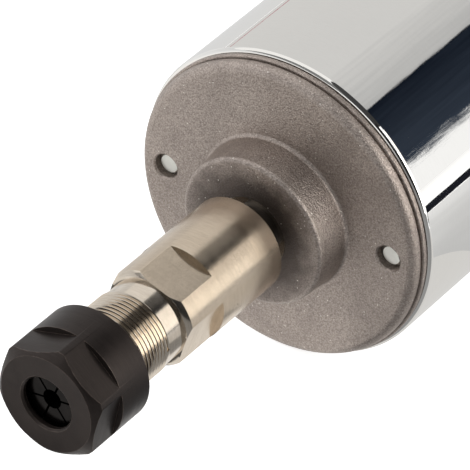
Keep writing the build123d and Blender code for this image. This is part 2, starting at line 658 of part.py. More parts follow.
def fan_cover():
    """Moulded cup over the fan, with slots round its side and a ring of slots in its end."""
    outer_r = bell_r
    inner_r = outer_r - COVER_WALL
    end_inside = cover_rear + COVER_END
    cup = turned((0, cover_rear), (outer_r, cover_rear), (outer_r, bell_rear),
                 (inner_r, bell_rear), (inner_r, end_inside), (0, end_inside))
    cup = fillet(rims(cup, outer_r, cover_rear), COVER_ROUND)
    pillar = rod(COVER_PILLAR_D / 2, end_inside - COVER_END / 2, bell_rear, cover_screw_r)
    cup = cup + opposite(Rot(0, 0, COVER_SCREW_TURN) * pillar)
    end_vent = Pos((END_VENT_IN + fan_r) / 2, 0, cover_rear + COVER_END / 2) * extrude(
        SlotOverall(fan_r - END_VENT_IN, END_VENT_WIDTH), COVER_END, both=True)
    cup = cup - around(end_vent, END_VENT_COUNT, 180 / END_VENT_COUNT)
    side_middle = bell_rear - SIDE_VENT_START - SIDE_VENT_LENGTH / 2
    side_vent = Pos(outer_r, 0, side_middle) * Box(4 * COVER_WALL, SIDE_VENT_WIDTH, SIDE_VENT_LENGTH)
    spacing = 360 / SIDE_VENT_COUNT
    kept = [piece for i, piece in enumerate(around(side_vent, SIDE_VENT_COUNT, spacing / 2))
            if abs((spacing * (i + 0.5)) % 180 - COVER_SCREW_TURN) > spacing]
    cup = cup - kept
    tab_slot = Pos(0, tab_height, cover_rear) * Box(
        TAB_WIDTH + 2 * SLIP_GAP, TAB_THICKNESS + 2 * SLIP_GAP, 3 * COVER_END)
    cup = cup - opposite(tab_slot)
    hole_rear = cover_rear - OVERCUT
    screw_hole = rod(COVER_SCREW_D / 2 + SLIP_GAP, hole_rear, bell_rear + OVERCUT, cover_screw_r)
    sink = rod(COVER_SCREW_HEAD_D / 2 + SLIP_GAP, hole_rear,
               cover_rear + COVER_SCREW_HEAD, cover_screw_r)
    return cup - opposite(Rot(0, 0, COVER_SCREW_TURN) * (screw_hole + sink))


def cover_screws():
    """Two screws through the cover's pillars into the bell."""
    head_front = cover_rear + COVER_SCREW_HEAD
    shank = rod(COVER_SCREW_D / 2, head_front, bell_rear + COVER_SCREW_BITE)
    head = rod(COVER_SCREW_HEAD_D / 2, cover_rear, head_front)
    slot = Pos(0, 0, cover_rear) * Box(COVER_SCREW_HEAD_D, COVER_SCREW_SLOT, COVER_SCREW_HEAD)
    screw = Pos(cover_screw_r, 0, 0) * (shank + head - slot - Rot(0, 0, 90) * slot)
    return Compound(opposite(Rot(0, 0, COVER_SCREW_TURN) * screw))


# ---- chuck --------------------------------------------------------------------------------

def collet_cone(clearance, front):
    """The tapered body of the collet from its rear end to a station, made larger all round."""
    slope = tan(radians(COLLET_TAPER))
    rear_r = collet_rear_r + clearance / cos(radians(COLLET_TAPER))
    front_r = rear_r + (front - collet_rear) * slope
    return turned((0, collet_rear), (rear_r, collet_rear), (front_r, front), (0, front))


def spindle_rod():
    """Chuck rod pressed on the motor shaft: wrench flats, neck, nut thread, collet seat."""
    neck_r = NECK_D / 2
    relief_r = SEAT_RELIEF_D / 2
    relief_rear = collet_rear - SEAT_RELIEF_DEPTH
    body = turned(
        (0, ROD_REAR), (rod_r, ROD_REAR), (rod_r, ROD_SHOULDER), (neck_r, ROD_SHOULDER),
        (neck_r, neck_front), (thread_r, neck_front), (thread_r, ROD_FRONT), (0, ROD_FRONT))
    ends = rims(body, rod_r, ROD_REAR) + rims(body, rod_r, ROD_SHOULDER)
    body = chamfer(ends, ROD_CHAMFER)
    body = chamfer(rims(body, thread_r, ROD_FRONT), THREAD_CHAMFER)
    flat_rear = ROD_SHOULDER - FLAT_LENGTH
    depth = rod_r - FLAT_ACROSS / 2
    flat = Pos(FLAT_ACROSS / 2 + depth, 0, (ROD_SHOULDER + flat_rear) / 2) * Box(
        2 * depth, ROD_D, FLAT_LENGTH)
    body = body - around(flat, FLAT_COUNT, FLAT_TURN)
    body = body - rod(shaft_r, ROD_REAR - OVERCUT, shaft_front)
    body = body - rod(relief_r, relief_rear, collet_rear)
    return body - collet_cone(SEAT_GAP, ROD_FRONT + OVERCUT)


def collet():
    """Spring collet: double cone, draw-out groove and slots sawn from each end in turn."""
    face_r = collet_r - COLLET_NOSE_DROP
    groove_r = COLLET_GROOVE_D / 2
    bore_r = COLLET_BORE / 2
    body = turned(
        (bore_r, collet_rear), (collet_rear_r, collet_rear),
        (collet_r, groove_rear), (groove_r, groove_rear), (groove_r, groove_front),
        (collet_r, groove_front), (collet_r, groove_front + COLLET_LAND), (face_r, COLLET_FACE),
        (bore_r, COLLET_FACE))
    saw_length = COLLET_LENGTH - COLLET_SLOT_WEB
    reach = collet_r + OVERCUT
    front_saw = Pos(reach / 2, 0, COLLET_FACE - saw_length / 2) * Box(
        reach, COLLET_SLOT_WIDTH, saw_length)
    rear_saw = Pos(reach / 2, 0, collet_rear + saw_length / 2) * Box(
        reach, COLLET_SLOT_WIDTH, saw_length)
    body = body - around(front_saw, COLLET_SLOTS, COLLET_SLOT_TURN)
    return body - around(rear_saw, COLLET_SLOTS, COLLET_SLOT_TURN + 180 / COLLET_SLOTS)


def collet_nut():
    """Clamping nut: round collar, six milled flats, coned nose, seat and draw-out ridge."""
    mouth_r = NUT_MOUTH_D / 2
    bore_r = thread_r + RUNNING_GAP
    land_front = groove_front + COLLET_LAND
    lip_rear = NUT_FRONT - NUT_LIP
    seat_r = collet_r + SEAT_GAP / cos(radians(COLLET_NOSE_ANGLE))
    lip_r = seat_r - (lip_rear - land_front) * tan(radians(COLLET_NOSE_ANGLE))
    ridge_front = groove_front - (COLLET_GROOVE_WIDTH - NUT_RIDGE) / 2
    ridge_rear = ridge_front - NUT_RIDGE
    nut = turned(
        (mouth_r, NUT_FRONT), (nut_r - NUT_NOSE_DROP, NUT_FRONT), (nut_r, NUT_FRONT - NUT_NOSE_LENGTH),
        (nut_r, nut_rear), (bore_r, nut_rear), (bore_r, ridge_rear), (mouth_r, ridge_rear),
        (mouth_r, ridge_front), (seat_r, ridge_front), (seat_r, land_front), (lip_r, lip_rear),
        (mouth_r, lip_rear))
    nut = chamfer(rims(nut, nut_r, nut_rear), NUT_REAR_CHAMFER)
    nut = chamfer(rims(nut, mouth_r, NUT_FRONT), NUT_MOUTH_CHAMFER)
    nut = nut - rod(NUT_RIDGE_D / 2, ridge_rear, ridge_front, NUT_RIDGE_OFFSET)
    depth = nut_r - NUT_ACROSS / 2
    flat = Pos(nut_r, 0, NUT_FRONT - NUT_FLAT_LENGTH / 2) * Box(2 * depth, NUT_OD, NUT_FLAT_LENGTH)
    return nut - around(flat, 6, NUT_TURN)


# ---- the whole spindle --------------------------------------------------------------------

def all_pieces():
    """Every piece by name, drawn about the upright axis."""
    pieces = {
        "can_tube": can_tube(), "front_cap": front_cap(), "rear_bell": rear_bell(),
        "tie_bolts": tie_bolts(), "bolt_washers": bolt_washers(), "spring_washer": spring_washer(),
        "motor_shaft": motor_shaft(), "armature_core": armature_core(), "end_discs": end_discs(),
        "armature_windings": armature_windings(), "cooling_fan": cooling_fan(),
        "fan_clip": fan_clip(), "fan_cover": fan_cover(), "cover_screws": cover_screws(),
        "spindle_rod": spindle_rod(), "collet": collet(), "collet_nut": collet_nut()}
    pieces["commutator_bars"], pieces["commutator_hub"] = commutator()
    for end, middle in (("front", front_bearing_middle), ("rear", rear_bearing_middle)):
        for name, piece in bearing(middle).items():
            pieces[f"{end}_bearing_{name}"] = piece
    mirrored = {
        "magnet": magnet(), "brush": brush(), "brush_sleeve": brush_sleeve(),
        "brush_insulator": brush_insulator(), "brush_cap": brush_cap(),
        "brush_spring": brush_spring(), "terminal_tab": terminal_tab(),
        "terminal_bush": terminal_bush()}
    for name, piece in mirrored.items():
        pieces[f"upper_{name}"] = piece
        pieces[f"lower_{name}"] = Rot(0, 0, 180) * piece
    return pieces


os.makedirs("parts", exist_ok=True)
lay_down = Rot(90, 0, 0) * Pos(0, 0, CAN_EDGE_ROUND)
for name, piece in all_pieces().items():
    export_step(lay_down * piece, f"parts/{name}.step")
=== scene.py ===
from math import cos, pi, radians, sin, tan

import bpy
from mathutils import Matrix, Vector


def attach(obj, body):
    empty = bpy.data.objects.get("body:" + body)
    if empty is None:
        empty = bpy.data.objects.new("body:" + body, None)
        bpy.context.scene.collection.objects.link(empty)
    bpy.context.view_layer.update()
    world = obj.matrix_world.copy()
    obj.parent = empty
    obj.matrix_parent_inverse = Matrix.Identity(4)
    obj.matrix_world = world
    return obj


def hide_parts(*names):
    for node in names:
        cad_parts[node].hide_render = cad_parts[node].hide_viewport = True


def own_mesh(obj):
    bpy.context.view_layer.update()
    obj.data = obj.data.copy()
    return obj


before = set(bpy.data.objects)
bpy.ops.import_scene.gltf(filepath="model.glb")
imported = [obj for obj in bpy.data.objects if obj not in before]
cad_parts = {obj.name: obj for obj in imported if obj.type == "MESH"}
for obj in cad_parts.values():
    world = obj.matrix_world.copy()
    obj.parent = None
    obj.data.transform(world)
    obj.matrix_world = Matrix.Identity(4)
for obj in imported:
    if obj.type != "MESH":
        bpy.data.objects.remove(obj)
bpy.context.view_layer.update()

# The spindle lies along Y: its nut faces -Y and its fan cover +Y. A station is a place
# along the axis in millimetres, measured from the can's front edge towards the nut, and
# the origin is at the front end of the can's straight side. An angle is measured about
# the axis, from +X towards +Z, in degrees.

MM = 0.001
HAIR = 0.02                 # too little to matter: closes points and finds rims
ROUND_SIDES = 192
CAN_SIDES = 256
DRILL_SIDES = 48

CAN_R = 26.0
CAN_BORE_R = 23.0
CAN_LENGTH = 110.0
CAN_EDGE_ROUND = 1.2        # at the rear, and from the front edge to the origin
CAN_ROLLED_EDGE = 0.7

FLANGE_R = 25.4
FLANGE_FRONT = 0.9
FLANGE_ROUND = 0.25
FLANGE_RELIEF = 0.18
FLANGE_RELIEF_WIDTH = 0.6
CAP_GROOVE_R = 24.55
CAP_GROOVE_FRONT = 1.2
CAP_FACE = 2.9
SHOULDER_R = 25.0
SHOULDER_ROUND = 1.5
BOSS_ROOT_R = 12.9
BOSS_ROOT_ROUND = 0.6
BOSS_TOP_R = 12.45
BOSS_TOP = 9.2
BOSS_TOP_ROUND = 0.7
BOSS_HOLE_R = 6.0
BOSS_HOLE_ROUND = 0.2
BOLT_CIRCLE_R = 20.3
BOLT_HOLE_R = 2.05
BOLT_HOLE_CHAMFER = 0.25
SPIGOT_REAR = -5.0
SPIGOT_INNER_R = 17.7
CAP_INSIDE = -0.5
BEARING_HUB_R = 13.5
BEARING_HUB_REAR = -1.5
BEARING_R = 11.0
BEARING_FRONT = 8.0

ROD_R = 8.0
ROD_REAR = 12.1
ROD_SHOULDER = 35.7
ROD_FRONT = 54.8
ROD_CHAMFER = 0.7
ROD_FLATS = 4
FLAT_REAR = 27.4
FLAT_REACH = 7.0            # from the axis to a flat
FLAT_TURN = 72.0
FLAT_OVERRUN = 0.3
NECK_R = 6.75
NECK_FRONT = 39.3
THREAD_R = 7.0
THREAD_PITCH = 0.75
THREAD_DEPTH = 0.46
THREAD_ROOT_WIDTH = 0.12
THREAD_HALF_ANGLE = 30.0
THREAD_START = 0.45         # ahead of the neck
THREAD_REAR_CHAMFER = 0.2
THREAD_FRONT_CHAMFER = 0.5
THREAD_STEPS = 96
SHAFT_R = 4.0
SHAFT_FRONT = 34.1
SEAT_HOLE_R = 4.1
SEAT_HOLE_REAR = 36.5
SEAT_REAR = 40.5
SEAT_REAR_R = 3.739
SEAT_FRONT_R = 5.748
ROD_EDGE_BREAK = 0.06

NUT_R = 9.5
NUT_REAR = 47.5
NUT_FRONT = 60.0
NUT_REAR_CHAMFER = 0.4
NUT_NOSE_LENGTH = 1.2
NUT_FACE_R = 8.0
NUT_MOUTH_R = 4.3
NUT_MOUTH_CHAMFER = 0.3
NUT_FLATS = 6
NUT_FLAT_REAR = 54.3
NUT_FLAT_REACH = 8.5        # from the axis to a flat
NUT_TURN = 47.0
NUT_BORE_R = 7.05
RIDGE_R = 5.2
RIDGE_REAR = 55.47
RIDGE_FRONT = 56.07
NUT_SEAT_R = 5.808
NUT_SEAT_REAR = 56.77
LIP_R = 4.461
LIP_REAR = 59.1
NUT_EDGE_BREAK = 0.12
CUT_PAST = 1.0              # how far a cutter runs past what it cuts

FLOOR_GAP = 0.1             # between the can and the floor

# ---- modelling by hand ---------------------------------------------------------------


def along(station):
    """The Y of a station, in metres."""
    return -(station + CAN_EDGE_ROUND) * MM


def select_nothing():
    if bpy.context.object and bpy.context.object.mode != "OBJECT":
        bpy.ops.object.mode_set(mode="OBJECT")
    bpy.ops.object.select_all(action="DESELECT")


def work_on(piece):
    select_nothing()
    piece.select_set(True)
    bpy.context.view_layer.objects.active = piece


def settle(piece, name):
    """Names a piece and moves its place into its mesh."""
    work_on(piece)
    bpy.ops.object.transform_apply(location=True, rotation=True, scale=True)
    piece.name = name
    piece.data.name = name
    return piece


def turned(name, outline, sides=ROUND_SIDES):
    """Turns a piece from one ring, drawn out along (radius, station) corners in turn.

    An outline that starts and ends at a hair's width from the axis closes up there, and
    any other is joined into a ring.
    """
    select_nothing()
    radius, station = outline[0]
    hollow = radius > HAIR
    bpy.ops.mesh.primitive_circle_add(
        vertices=sides, radius=radius * MM, fill_type="NOTHING",
        location=(0, along(station), 0), rotation=(pi / 2, 0, 0))
    piece = settle(bpy.context.object, name)
    bpy.ops.object.mode_set(mode="EDIT")
    bpy.ops.mesh.select_mode(type="VERT")
    bpy.ops.mesh.select_all(action="SELECT")
    for next_radius, next_station in outline[1:] + (outline[:1] if hollow else []):
        step = along(next_station) - along(station)
        bpy.ops.mesh.extrude_edges_move(TRANSFORM_OT_translate={"value": (0, step, 0)})
        grow = next_radius / radius
        bpy.ops.transform.resize(
            value=(grow, 1, grow), center_override=(0, along(next_station), 0))
        radius, station = next_radius, next_station
    bpy.ops.mesh.select_all(action="SELECT")
    bpy.ops.mesh.remove_doubles(threshold=(0.001 if hollow else 2 * HAIR) * MM)
    bpy.ops.mesh.delete_loose()
    bpy.ops.mesh.select_all(action="SELECT")
    bpy.ops.mesh.normals_make_consistent(inside=False)
    bpy.ops.object.mode_set(mode="OBJECT")
    return piece


def round_rim(piece, radius, station, size, segments):
    """Rounds the turned edge at a radius and station."""
    work_on(piece)
    bpy.ops.object.mode_set(mode="EDIT")
    bpy.ops.mesh.select_mode(type="EDGE")
    bpy.ops.mesh.select_all(action="DESELECT")
    bpy.ops.object.mode_set(mode="OBJECT")
    near = HAIR * MM
    points = piece.data.vertices

    def on_rim(i):
        place = points[i].co
        out = (place.x ** 2 + place.z ** 2) ** 0.5
        return abs(out - radius * MM) < near and abs(place.y - along(station)) < near

    for edge in piece.data.edges:
        edge.select = all(on_rim(i) for i in edge.vertices)
    bpy.ops.object.mode_set(mode="EDIT")
    bpy.ops.mesh.bevel(offset=size * MM, segments=segments, affect="EDGES", clamp_overlap=True)
    bpy.ops.object.mode_set(mode="OBJECT")


def block(size, place, turn):
    """A cutter block, its size and place given as (x, station, z), turned about the axis."""
    select_nothing()
    bpy.ops.mesh.primitive_cube_add(size=1, location=(0, 0, 0))
    cutter = bpy.context.object
    cutter.scale = [s * MM for s in size]
    cutter.location = (place[0] * MM, along(place[1]), place[2] * MM)
    settle(cutter, "cutter")
    cutter.rotation_euler = (0, -radians(turn), 0)
    return settle(cutter, "cutter")


def drill(radius, rear, front, out, angle, tip_radius=None):
    """A round cutter along the axis, standing off it by out at an angle."""
    select_nothing()
    middle = (rear + front) / 2
    place = (out * cos(radians(angle)) * MM, along(middle), out * sin(radians(angle)) * MM)
    bpy.ops.mesh.primitive_cone_add(
        vertices=DRILL_SIDES, radius1=radius * MM, radius2=(tip_radius or radius) * MM,
        depth=(front - rear) * MM, location=place, rotation=(pi / 2, 0, 0))
    return settle(bpy.context.object, "cutter")


def cut(piece, cutters):
    """Cuts each cutter out of the piece and clears the cutter away."""
    for cutter in cutters:
        work_on(piece)
        step = piece.modifiers.new("cut", "BOOLEAN")
        step.operation = "DIFFERENCE"
        step.solver = "EXACT"
        step.object = cutter
        bpy.ops.object.modifier_apply(modifier=step.name)
        bpy.data.objects.remove(cutter)


def break_edges(piece, width, angle, segments):
    """Takes the sharpness off the edges bent by more than an angle."""
    work_on(piece)
    step = piece.modifiers.new("broken_edges", "BEVEL")
    step.width = width * MM
    step.segments = segments
    step.limit_method = "ANGLE"
    step.angle_limit = radians(angle)
    step.use_clamp_overlap = True
    bpy.ops.object.modifier_apply(modifier=step.name)


def smooth(piece, angle=32):
    """Smooth shading that stays crisp at real edges and flat on flat faces."""
    work_on(piece)
    bpy.ops.object.shade_smooth_by_angle(angle=radians(angle))
    step = piece.modifiers.new("flat_faces_flat", "WEIGHTED_NORMAL")
    step.keep_sharp = True
    step.weight = 90
    bpy.ops.object.modifier_apply(modifier=step.name)


def flats_round(count, first, reach, radius, rear, front):
    """Cutter blocks for flats on a round of some radius, each its reach from the axis."""
    deep = radius - reach
    size = (2 * deep, front - rear, 2 * radius)
    place = (reach + deep, (front + rear) / 2, 0)
    return [block(size, place, first + 360 / count * i) for i in range(count)]


# ---- camera, in metres ---------------------------------------------------------------

CAMERA_PLACE = (0.3710466, -0.5365740, 0.4714933)
CAMERA_RIGHT = (0.81574, 0.57842, -0.00154)
CAMERA_FORWARD = (-0.46725, 0.65738, -0.59121)

lens = bpy.data.cameras.new("camera")
lens.lens = 410.53
lens.sensor_width = 36.0
lens.clip_start = 0.01
lens.clip_end = 50.0
camera = bpy.data.objects.new("camera", lens)
bpy.context.scene.collection.objects.link(camera)
forward = Vector(CAMERA_FORWARD).normalized()
upward = Vector(CAMERA_RIGHT).normalized().cross(forward).normalized()
camera.matrix_world = Matrix.Translation(CAMERA_PLACE) @ Matrix(
    (forward.cross(upward), upward, -forward)).transposed().to_4x4()
bpy.context.scene.camera = camera

# ---- what finishes are made of -------------------------------------------------------

NODES_IN_A_ROW = 12         # in a material's drawing, with gaps for one node's size
NODE_GAP = (220, 260)


def put(tree, kind, values=None, **settings):
    """A new node with its settings and the values of its inputs."""
    made = tree.nodes.new(kind)
    row, column = divmod(len(tree.nodes), NODES_IN_A_ROW)
    made.location = (NODE_GAP[0] * column, -NODE_GAP[1] * row)
    for name, value in settings.items():
        setattr(made, name, value)
    for name, value in (values or {}).items():
        if isinstance(value, bpy.types.NodeSocket):
            tree.links.new(value, made.inputs[name])
        else:
            made.inputs[name].default_value = value
    return made


def sums(tree, kind, *values):
    """The result of one step of arithmetic."""
    made = put(tree, "ShaderNodeMath", dict(enumerate(values)), operation=kind)
    return made.outputs[0]


def scaled(tree, value, low, high, to_low, to_high):
    """A value carried from one range to another, and held within it."""
    made = put(tree, "ShaderNodeMapRange", {
        "Value": value, "From Min": low, "From Max": high, "To Min": to_low, "To Max": to_high})
    return made.outputs["Result"]


def blended(tree, share, first, second):
    """A colour part of the way from the first to the second."""
    made = put(tree, "ShaderNodeMix", data_type="RGBA")
    for socket, value in ((0, share), (6, first), (7, second)):
        if isinstance(value, bpy.types.NodeSocket):
            tree.links.new(value, made.inputs[socket])
        else:
            made.inputs[socket].default_value = value
    return made.outputs[2]


def effect(name, takes, gives):
    """A new effect with named inputs and outputs."""
    tree = bpy.data.node_groups.new(name, "ShaderNodeTree")
    for label, start in takes.items():
        socket = tree.interface.new_socket(label, in_out="INPUT", socket_type="NodeSocketFloat")
        socket.default_value = start
    for label in gives:
        tree.interface.new_socket(label, in_out="OUTPUT", socket_type="NodeSocketFloat")
    return tree, tree.nodes.new("NodeGroupInput").outputs, tree.nodes.new("NodeGroupOutput").inputs


def turned_marks():
    """Fine rings left round the axis by a lathe tool or a polishing belt."""
    tree, given, out = effect("turned_marks", {"Pitch": 0.0002, "Run": 0.004}, ["Height", "Bands"])
    place = put(tree, "ShaderNodeTexCoord").outputs["Object"]
    per_pitch = sums(tree, "DIVIDE", 1.0, given["Pitch"])
    per_run = sums(tree, "DIVIDE", 1.0, given["Run"])
    stretch = put(tree, "ShaderNodeCombineXYZ", {"X": per_run, "Y": per_pitch, "Z": per_run})
    spread = put(tree, "ShaderNodeVectorMath", {0: place, 1: stretch.outputs[0]},
                 operation="MULTIPLY")
    fine = put(tree, "ShaderNodeTexNoise", {
        "Vector": spread.outputs[0], "Scale": 1.0, "Detail": 3.0, "Roughness": 0.6})
    broad = put(tree, "ShaderNodeTexNoise", {
        "Vector": spread.outputs[0], "Scale": 0.17, "Detail": 1.0})
    tree.links.new(fine.outputs[0], out["Height"])
    tree.links.new(broad.outputs[0], out["Bands"])
    return tree


def cast_grain():
    """The close pebbled skin of a blasted casting, and its slow change of tone."""
    tree, given, out = effect(
        "cast_grain", {"Grain": 0.0004, "Patch": 0.008}, ["Height", "Mottle"])
    place = put(tree, "ShaderNodeTexCoord").outputs["Object"]
    fine = put(tree, "ShaderNodeTexNoise", {
        "Vector": place, "Scale": sums(tree, "DIVIDE", 1.0, given["Grain"]), "Detail": 4.0,
        "Roughness": 0.62})
    pebbles = put(tree, "ShaderNodeTexVoronoi", {
        "Vector": place, "Scale": sums(tree, "DIVIDE", 0.7, given["Grain"]), "Smoothness": 0.6},
        feature="SMOOTH_F1")
    both = sums(tree, "SUBTRACT", fine.outputs[0],
                sums(tree, "MULTIPLY", pebbles.outputs[0], 0.45))
    patches = put(tree, "ShaderNodeTexNoise", {
        "Vector": place, "Scale": sums(tree, "DIVIDE", 1.0, given["Patch"]), "Detail": 5.0,
        "Roughness": 0.6})
    tree.links.new(both, out["Height"])
    tree.links.new(patches.outputs[0], out["Mottle"])
    return tree


def worn_edges():
    """Where an edge has been rubbed, in a band of some width."""
    tree, given, out = effect("worn_edges", {"Width": 0.0003}, ["Worn"])
    rounded = put(tree, "ShaderNodeBevel", {"Radius": given["Width"]}, samples=6).outputs[0]
    facing = put(tree, "ShaderNodeNewGeometry").outputs["Normal"]
    match = put(tree, "ShaderNodeVectorMath", {0: rounded, 1: facing}, operation="DOT_PRODUCT")
    place = put(tree, "ShaderNodeTexCoord").outputs["Object"]
    broken = put(tree, "ShaderNodeTexNoise", {"Vector": place, "Scale": 900.0, "Detail": 3.0})
    edge = scaled(tree, match.outputs["Value"], 0.995, 0.93, 0.0, 1.0)
    patchy = scaled(tree, broken.outputs[0], 0.35, 0.65, 0.2, 1.0)
    tree.links.new(sums(tree, "MULTIPLY", edge, patchy), out["Worn"])
    return tree


def painted_shaft_shade():
    """Painted shade round the shaft, where the rod shades the boss's face, fading out between two
    radii.
    """
    tree, given, out = effect("painted_shaft_shade", {"Near": 0.0085, "Far": 0.0125}, ["Film"])
    place = put(tree, "ShaderNodeTexCoord").outputs["Object"]
    across = put(tree, "ShaderNodeVectorMath", {0: place, 1: (1.0, 0.0, 1.0)},
                 operation="MULTIPLY").outputs["Vector"]
    reach = put(tree, "ShaderNodeVectorMath", {0: across}, operation="LENGTH").outputs["Value"]
    broken = put(tree, "ShaderNodeTexNoise", {"Vector": place, "Scale": 500.0, "Detail": 3.0})
    ragged = sums(tree, "ADD", reach, scaled(tree, broken.outputs[0], 0.3, 0.7, -0.0008, 0.0008))
    tree.links.new(scaled(tree, ragged, given["Near"], given["Far"], 1.0, 0.0), out["Film"])
    return tree


def fine_scratches():
    """Thin stray scratches in one direction, in patches."""
    tree, given, out = effect(
        "fine_scratches", {"Length": 0.004, "Spacing": 0.0006, "Slant": 0.5}, ["Scratches"])
    place = put(tree, "ShaderNodeTexCoord").outputs["Object"]
    turn = put(tree, "ShaderNodeCombineXYZ", {"X": given["Slant"], "Y": 0.3, "Z": given["Slant"]})
    turned_place = put(tree, "ShaderNodeVectorRotate", {
        "Vector": place, "Rotation": turn.outputs[0]}, rotation_type="EULER_XYZ")
    per_length = sums(tree, "DIVIDE", 1.0, given["Length"])
    per_spacing = sums(tree, "DIVIDE", 1.0, given["Spacing"])
    stretch = put(tree, "ShaderNodeCombineXYZ", {
        "X": per_length, "Y": per_spacing, "Z": per_length})
    spread = put(tree, "ShaderNodeVectorMath", {
        0: turned_place.outputs[0], 1: stretch.outputs[0]}, operation="MULTIPLY")
    lines = put(tree, "ShaderNodeTexNoise", {
        "Vector": spread.outputs[0], "Scale": 1.0, "Detail": 1.0})
    off_line = sums(tree, "ABSOLUTE", sums(tree, "SUBTRACT", lines.outputs[0], 0.5))
    thin = scaled(tree, off_line, 0.0, 0.012, 1.0, 0.0)
    patches = put(tree, "ShaderNodeTexNoise", {"Vector": place, "Scale": 160.0, "Detail": 2.0})
    where = scaled(tree, patches.outputs[0], 0.52, 0.62, 0.0, 1.0)
    tree.links.new(sums(tree, "MULTIPLY", thin, where), out["Scratches"])
    return tree


def specks():
    """Small separate spots: dark pits and dirt, or bright spots that are painted glints."""
    tree, given, out = effect("specks", {"Spacing": 0.001, "Share": 0.15, "Size": 0.2}, ["Specks"])
    place = put(tree, "ShaderNodeTexCoord").outputs["Object"]
    cells = put(tree, "ShaderNodeTexVoronoi", {
        "Vector": place, "Scale": sums(tree, "DIVIDE", 1.0, given["Spacing"])})
    spot = sums(tree, "LESS_THAN", cells.outputs["Distance"], given["Size"])
    chance = put(tree, "ShaderNodeSeparateColor", {"Color": cells.outputs["Color"]}).outputs[0]
    chosen = sums(tree, "LESS_THAN", chance, given["Share"])
    tree.links.new(sums(tree, "MULTIPLY", spot, chosen), out["Specks"])
    return tree


EFFECTS = {make.__name__: make() for make in (
    turned_marks, cast_grain, worn_edges, painted_shaft_shade, fine_scratches, specks)}


def apply_effect(tree, name, **values):
    """Puts an effect in a material, and gives its outputs."""
    made = put(tree, "ShaderNodeGroup")
    made.node_tree = EFFECTS[name]
    for label, value in values.items():
        made.inputs[label].default_value = value
    return made.outputs


def colour(red, green, blue):
    """A colour from the 0 to 255 values it should show on a screen."""
    parts = [c / 255 for c in (red, green, blue)]
    return [c / 12.92 if c <= 0.04045 else ((c + 0.055) / 1.055) ** 2.4 for c in parts] + [1.0]


def bumped(tree, layers):
    """The normal after one bump for each (height, depth in metres)."""
    normal = None
    for height, depth in layers:
        values = {"Height": height, "Distance": depth, "Strength": 1.0}
        if normal is not None:
            values["Normal"] = normal
        normal = put(tree, "ShaderNodeBump", values).outputs[0]
    return normal


FINISHES = {}


def finish(name, light, dark, metallic, rough, marks=None, grain=None, spots=None, wear=None,
           scratches=None, pepper=None, shaft_shade=None, coat=0.0, patch=0.008):
    """Adds a finish of two tones, with what its surface shows.

    rough: lowest and highest roughness; marks: pitch, run, depth; grain: size, depth;
    spots: spacing, share, size against spacing, colour, where bright spots are painted
    glints; wear: width, colour; scratches: length, spacing, slant, colour, depth; pepper:
    share, colour of painted shade in the grain's low spots; film: near radius, far radius,
    share, colour of painted shade round the shaft; coat: its weight; patch: the size of a
    change of tone. All lengths in metres.
    """
    made = bpy.data.materials.new(name)
    made.use_nodes = True
    tree = made.node_tree
    shader = tree.nodes["Principled BSDF"]
    grain_size, grain_depth = grain or (0.0005, 0.0)
    skin = apply_effect(tree, "cast_grain", Grain=grain_size, Patch=patch)
    tone = scaled(tree, skin["Mottle"], 0.3, 0.7, 0.0, 1.0)
    layers = []
    gloss = skin["Mottle"]
    if marks:
        pitch, run, depth = marks
        rings = apply_effect(tree, "turned_marks", Pitch=pitch, Run=run)
        layers.append((rings["Height"], depth))
        gloss = sums(tree, "MULTIPLY_ADD", rings["Bands"], 0.6,
                     sums(tree, "MULTIPLY", skin["Mottle"], 0.4))
        tone = sums(tree, "MULTIPLY_ADD", scaled(tree, rings["Height"], 0.3, 0.7, 0.0, 1.0), 0.5,
                    sums(tree, "MULTIPLY", tone, 0.5))
    if grain_depth:
        layers.append((skin["Height"], grain_depth))
    shade = blended(tree, tone, dark, light)
    roughness = scaled(tree, gloss, 0.3, 0.7, rough[0], rough[1])
    # Painted shade: the pepper darkens the low spots of the grain, as shade would.
    if pepper:
        share, pit_shade_colour = pepper
        pit_shade_mask = scaled(tree, skin["Height"], 0.1, 0.5, share, 0.0)
        shade = blended(tree, pit_shade_mask, shade, pit_shade_colour)
    # Painted shade: the film darkens the boss's face round the shaft, as the rod's shade would.
    if shaft_shade:
        near, far, share, shaft_shade_colour = shaft_shade
        shaft_shade_mask = apply_effect(tree, "painted_shaft_shade", Near=near, Far=far)["Film"]
        shade = blended(tree, sums(tree, "MULTIPLY", shaft_shade_mask, share), shade, shaft_shade_colour)
    # Dark spots are pits and dirt; the casting's bright spots are painted glints.
    if spots:
        spacing, share, size, spot_colour = spots
        spot = apply_effect(tree, "specks", Spacing=spacing, Share=share, Size=size)["Specks"]
        shade = blended(tree, spot, shade, spot_colour)
    if scratches:
        length, spacing, slant, line_colour, depth = scratches
        lines = apply_effect(tree, "fine_scratches", Length=length, Spacing=spacing,
                             Slant=slant)["Scratches"]
        shade = blended(tree, lines, shade, line_colour)
        layers.append((sums(tree, "SUBTRACT", 1.0, lines), depth))
    if wear:
        width, rubbed = wear
        rub = apply_effect(tree, "worn_edges", Width=width)["Worn"]
        shade = blended(tree, rub, shade, rubbed)
        roughness = sums(tree, "SUBTRACT", roughness, sums(tree, "MULTIPLY", rub, 0.08))
    tree.links.new(shade, shader.inputs["Base Color"])
    tree.links.new(roughness, shader.inputs["Roughness"])
    shader.inputs["Metallic"].default_value = metallic
    shader.inputs["Coat Weight"].default_value = coat
    shader.inputs["Coat Roughness"].default_value = 0.2
    if layers:
        tree.links.new(bumped(tree, layers), shader.inputs["Normal"])
    made.diffuse_color = light
    FINISHES[name] = made


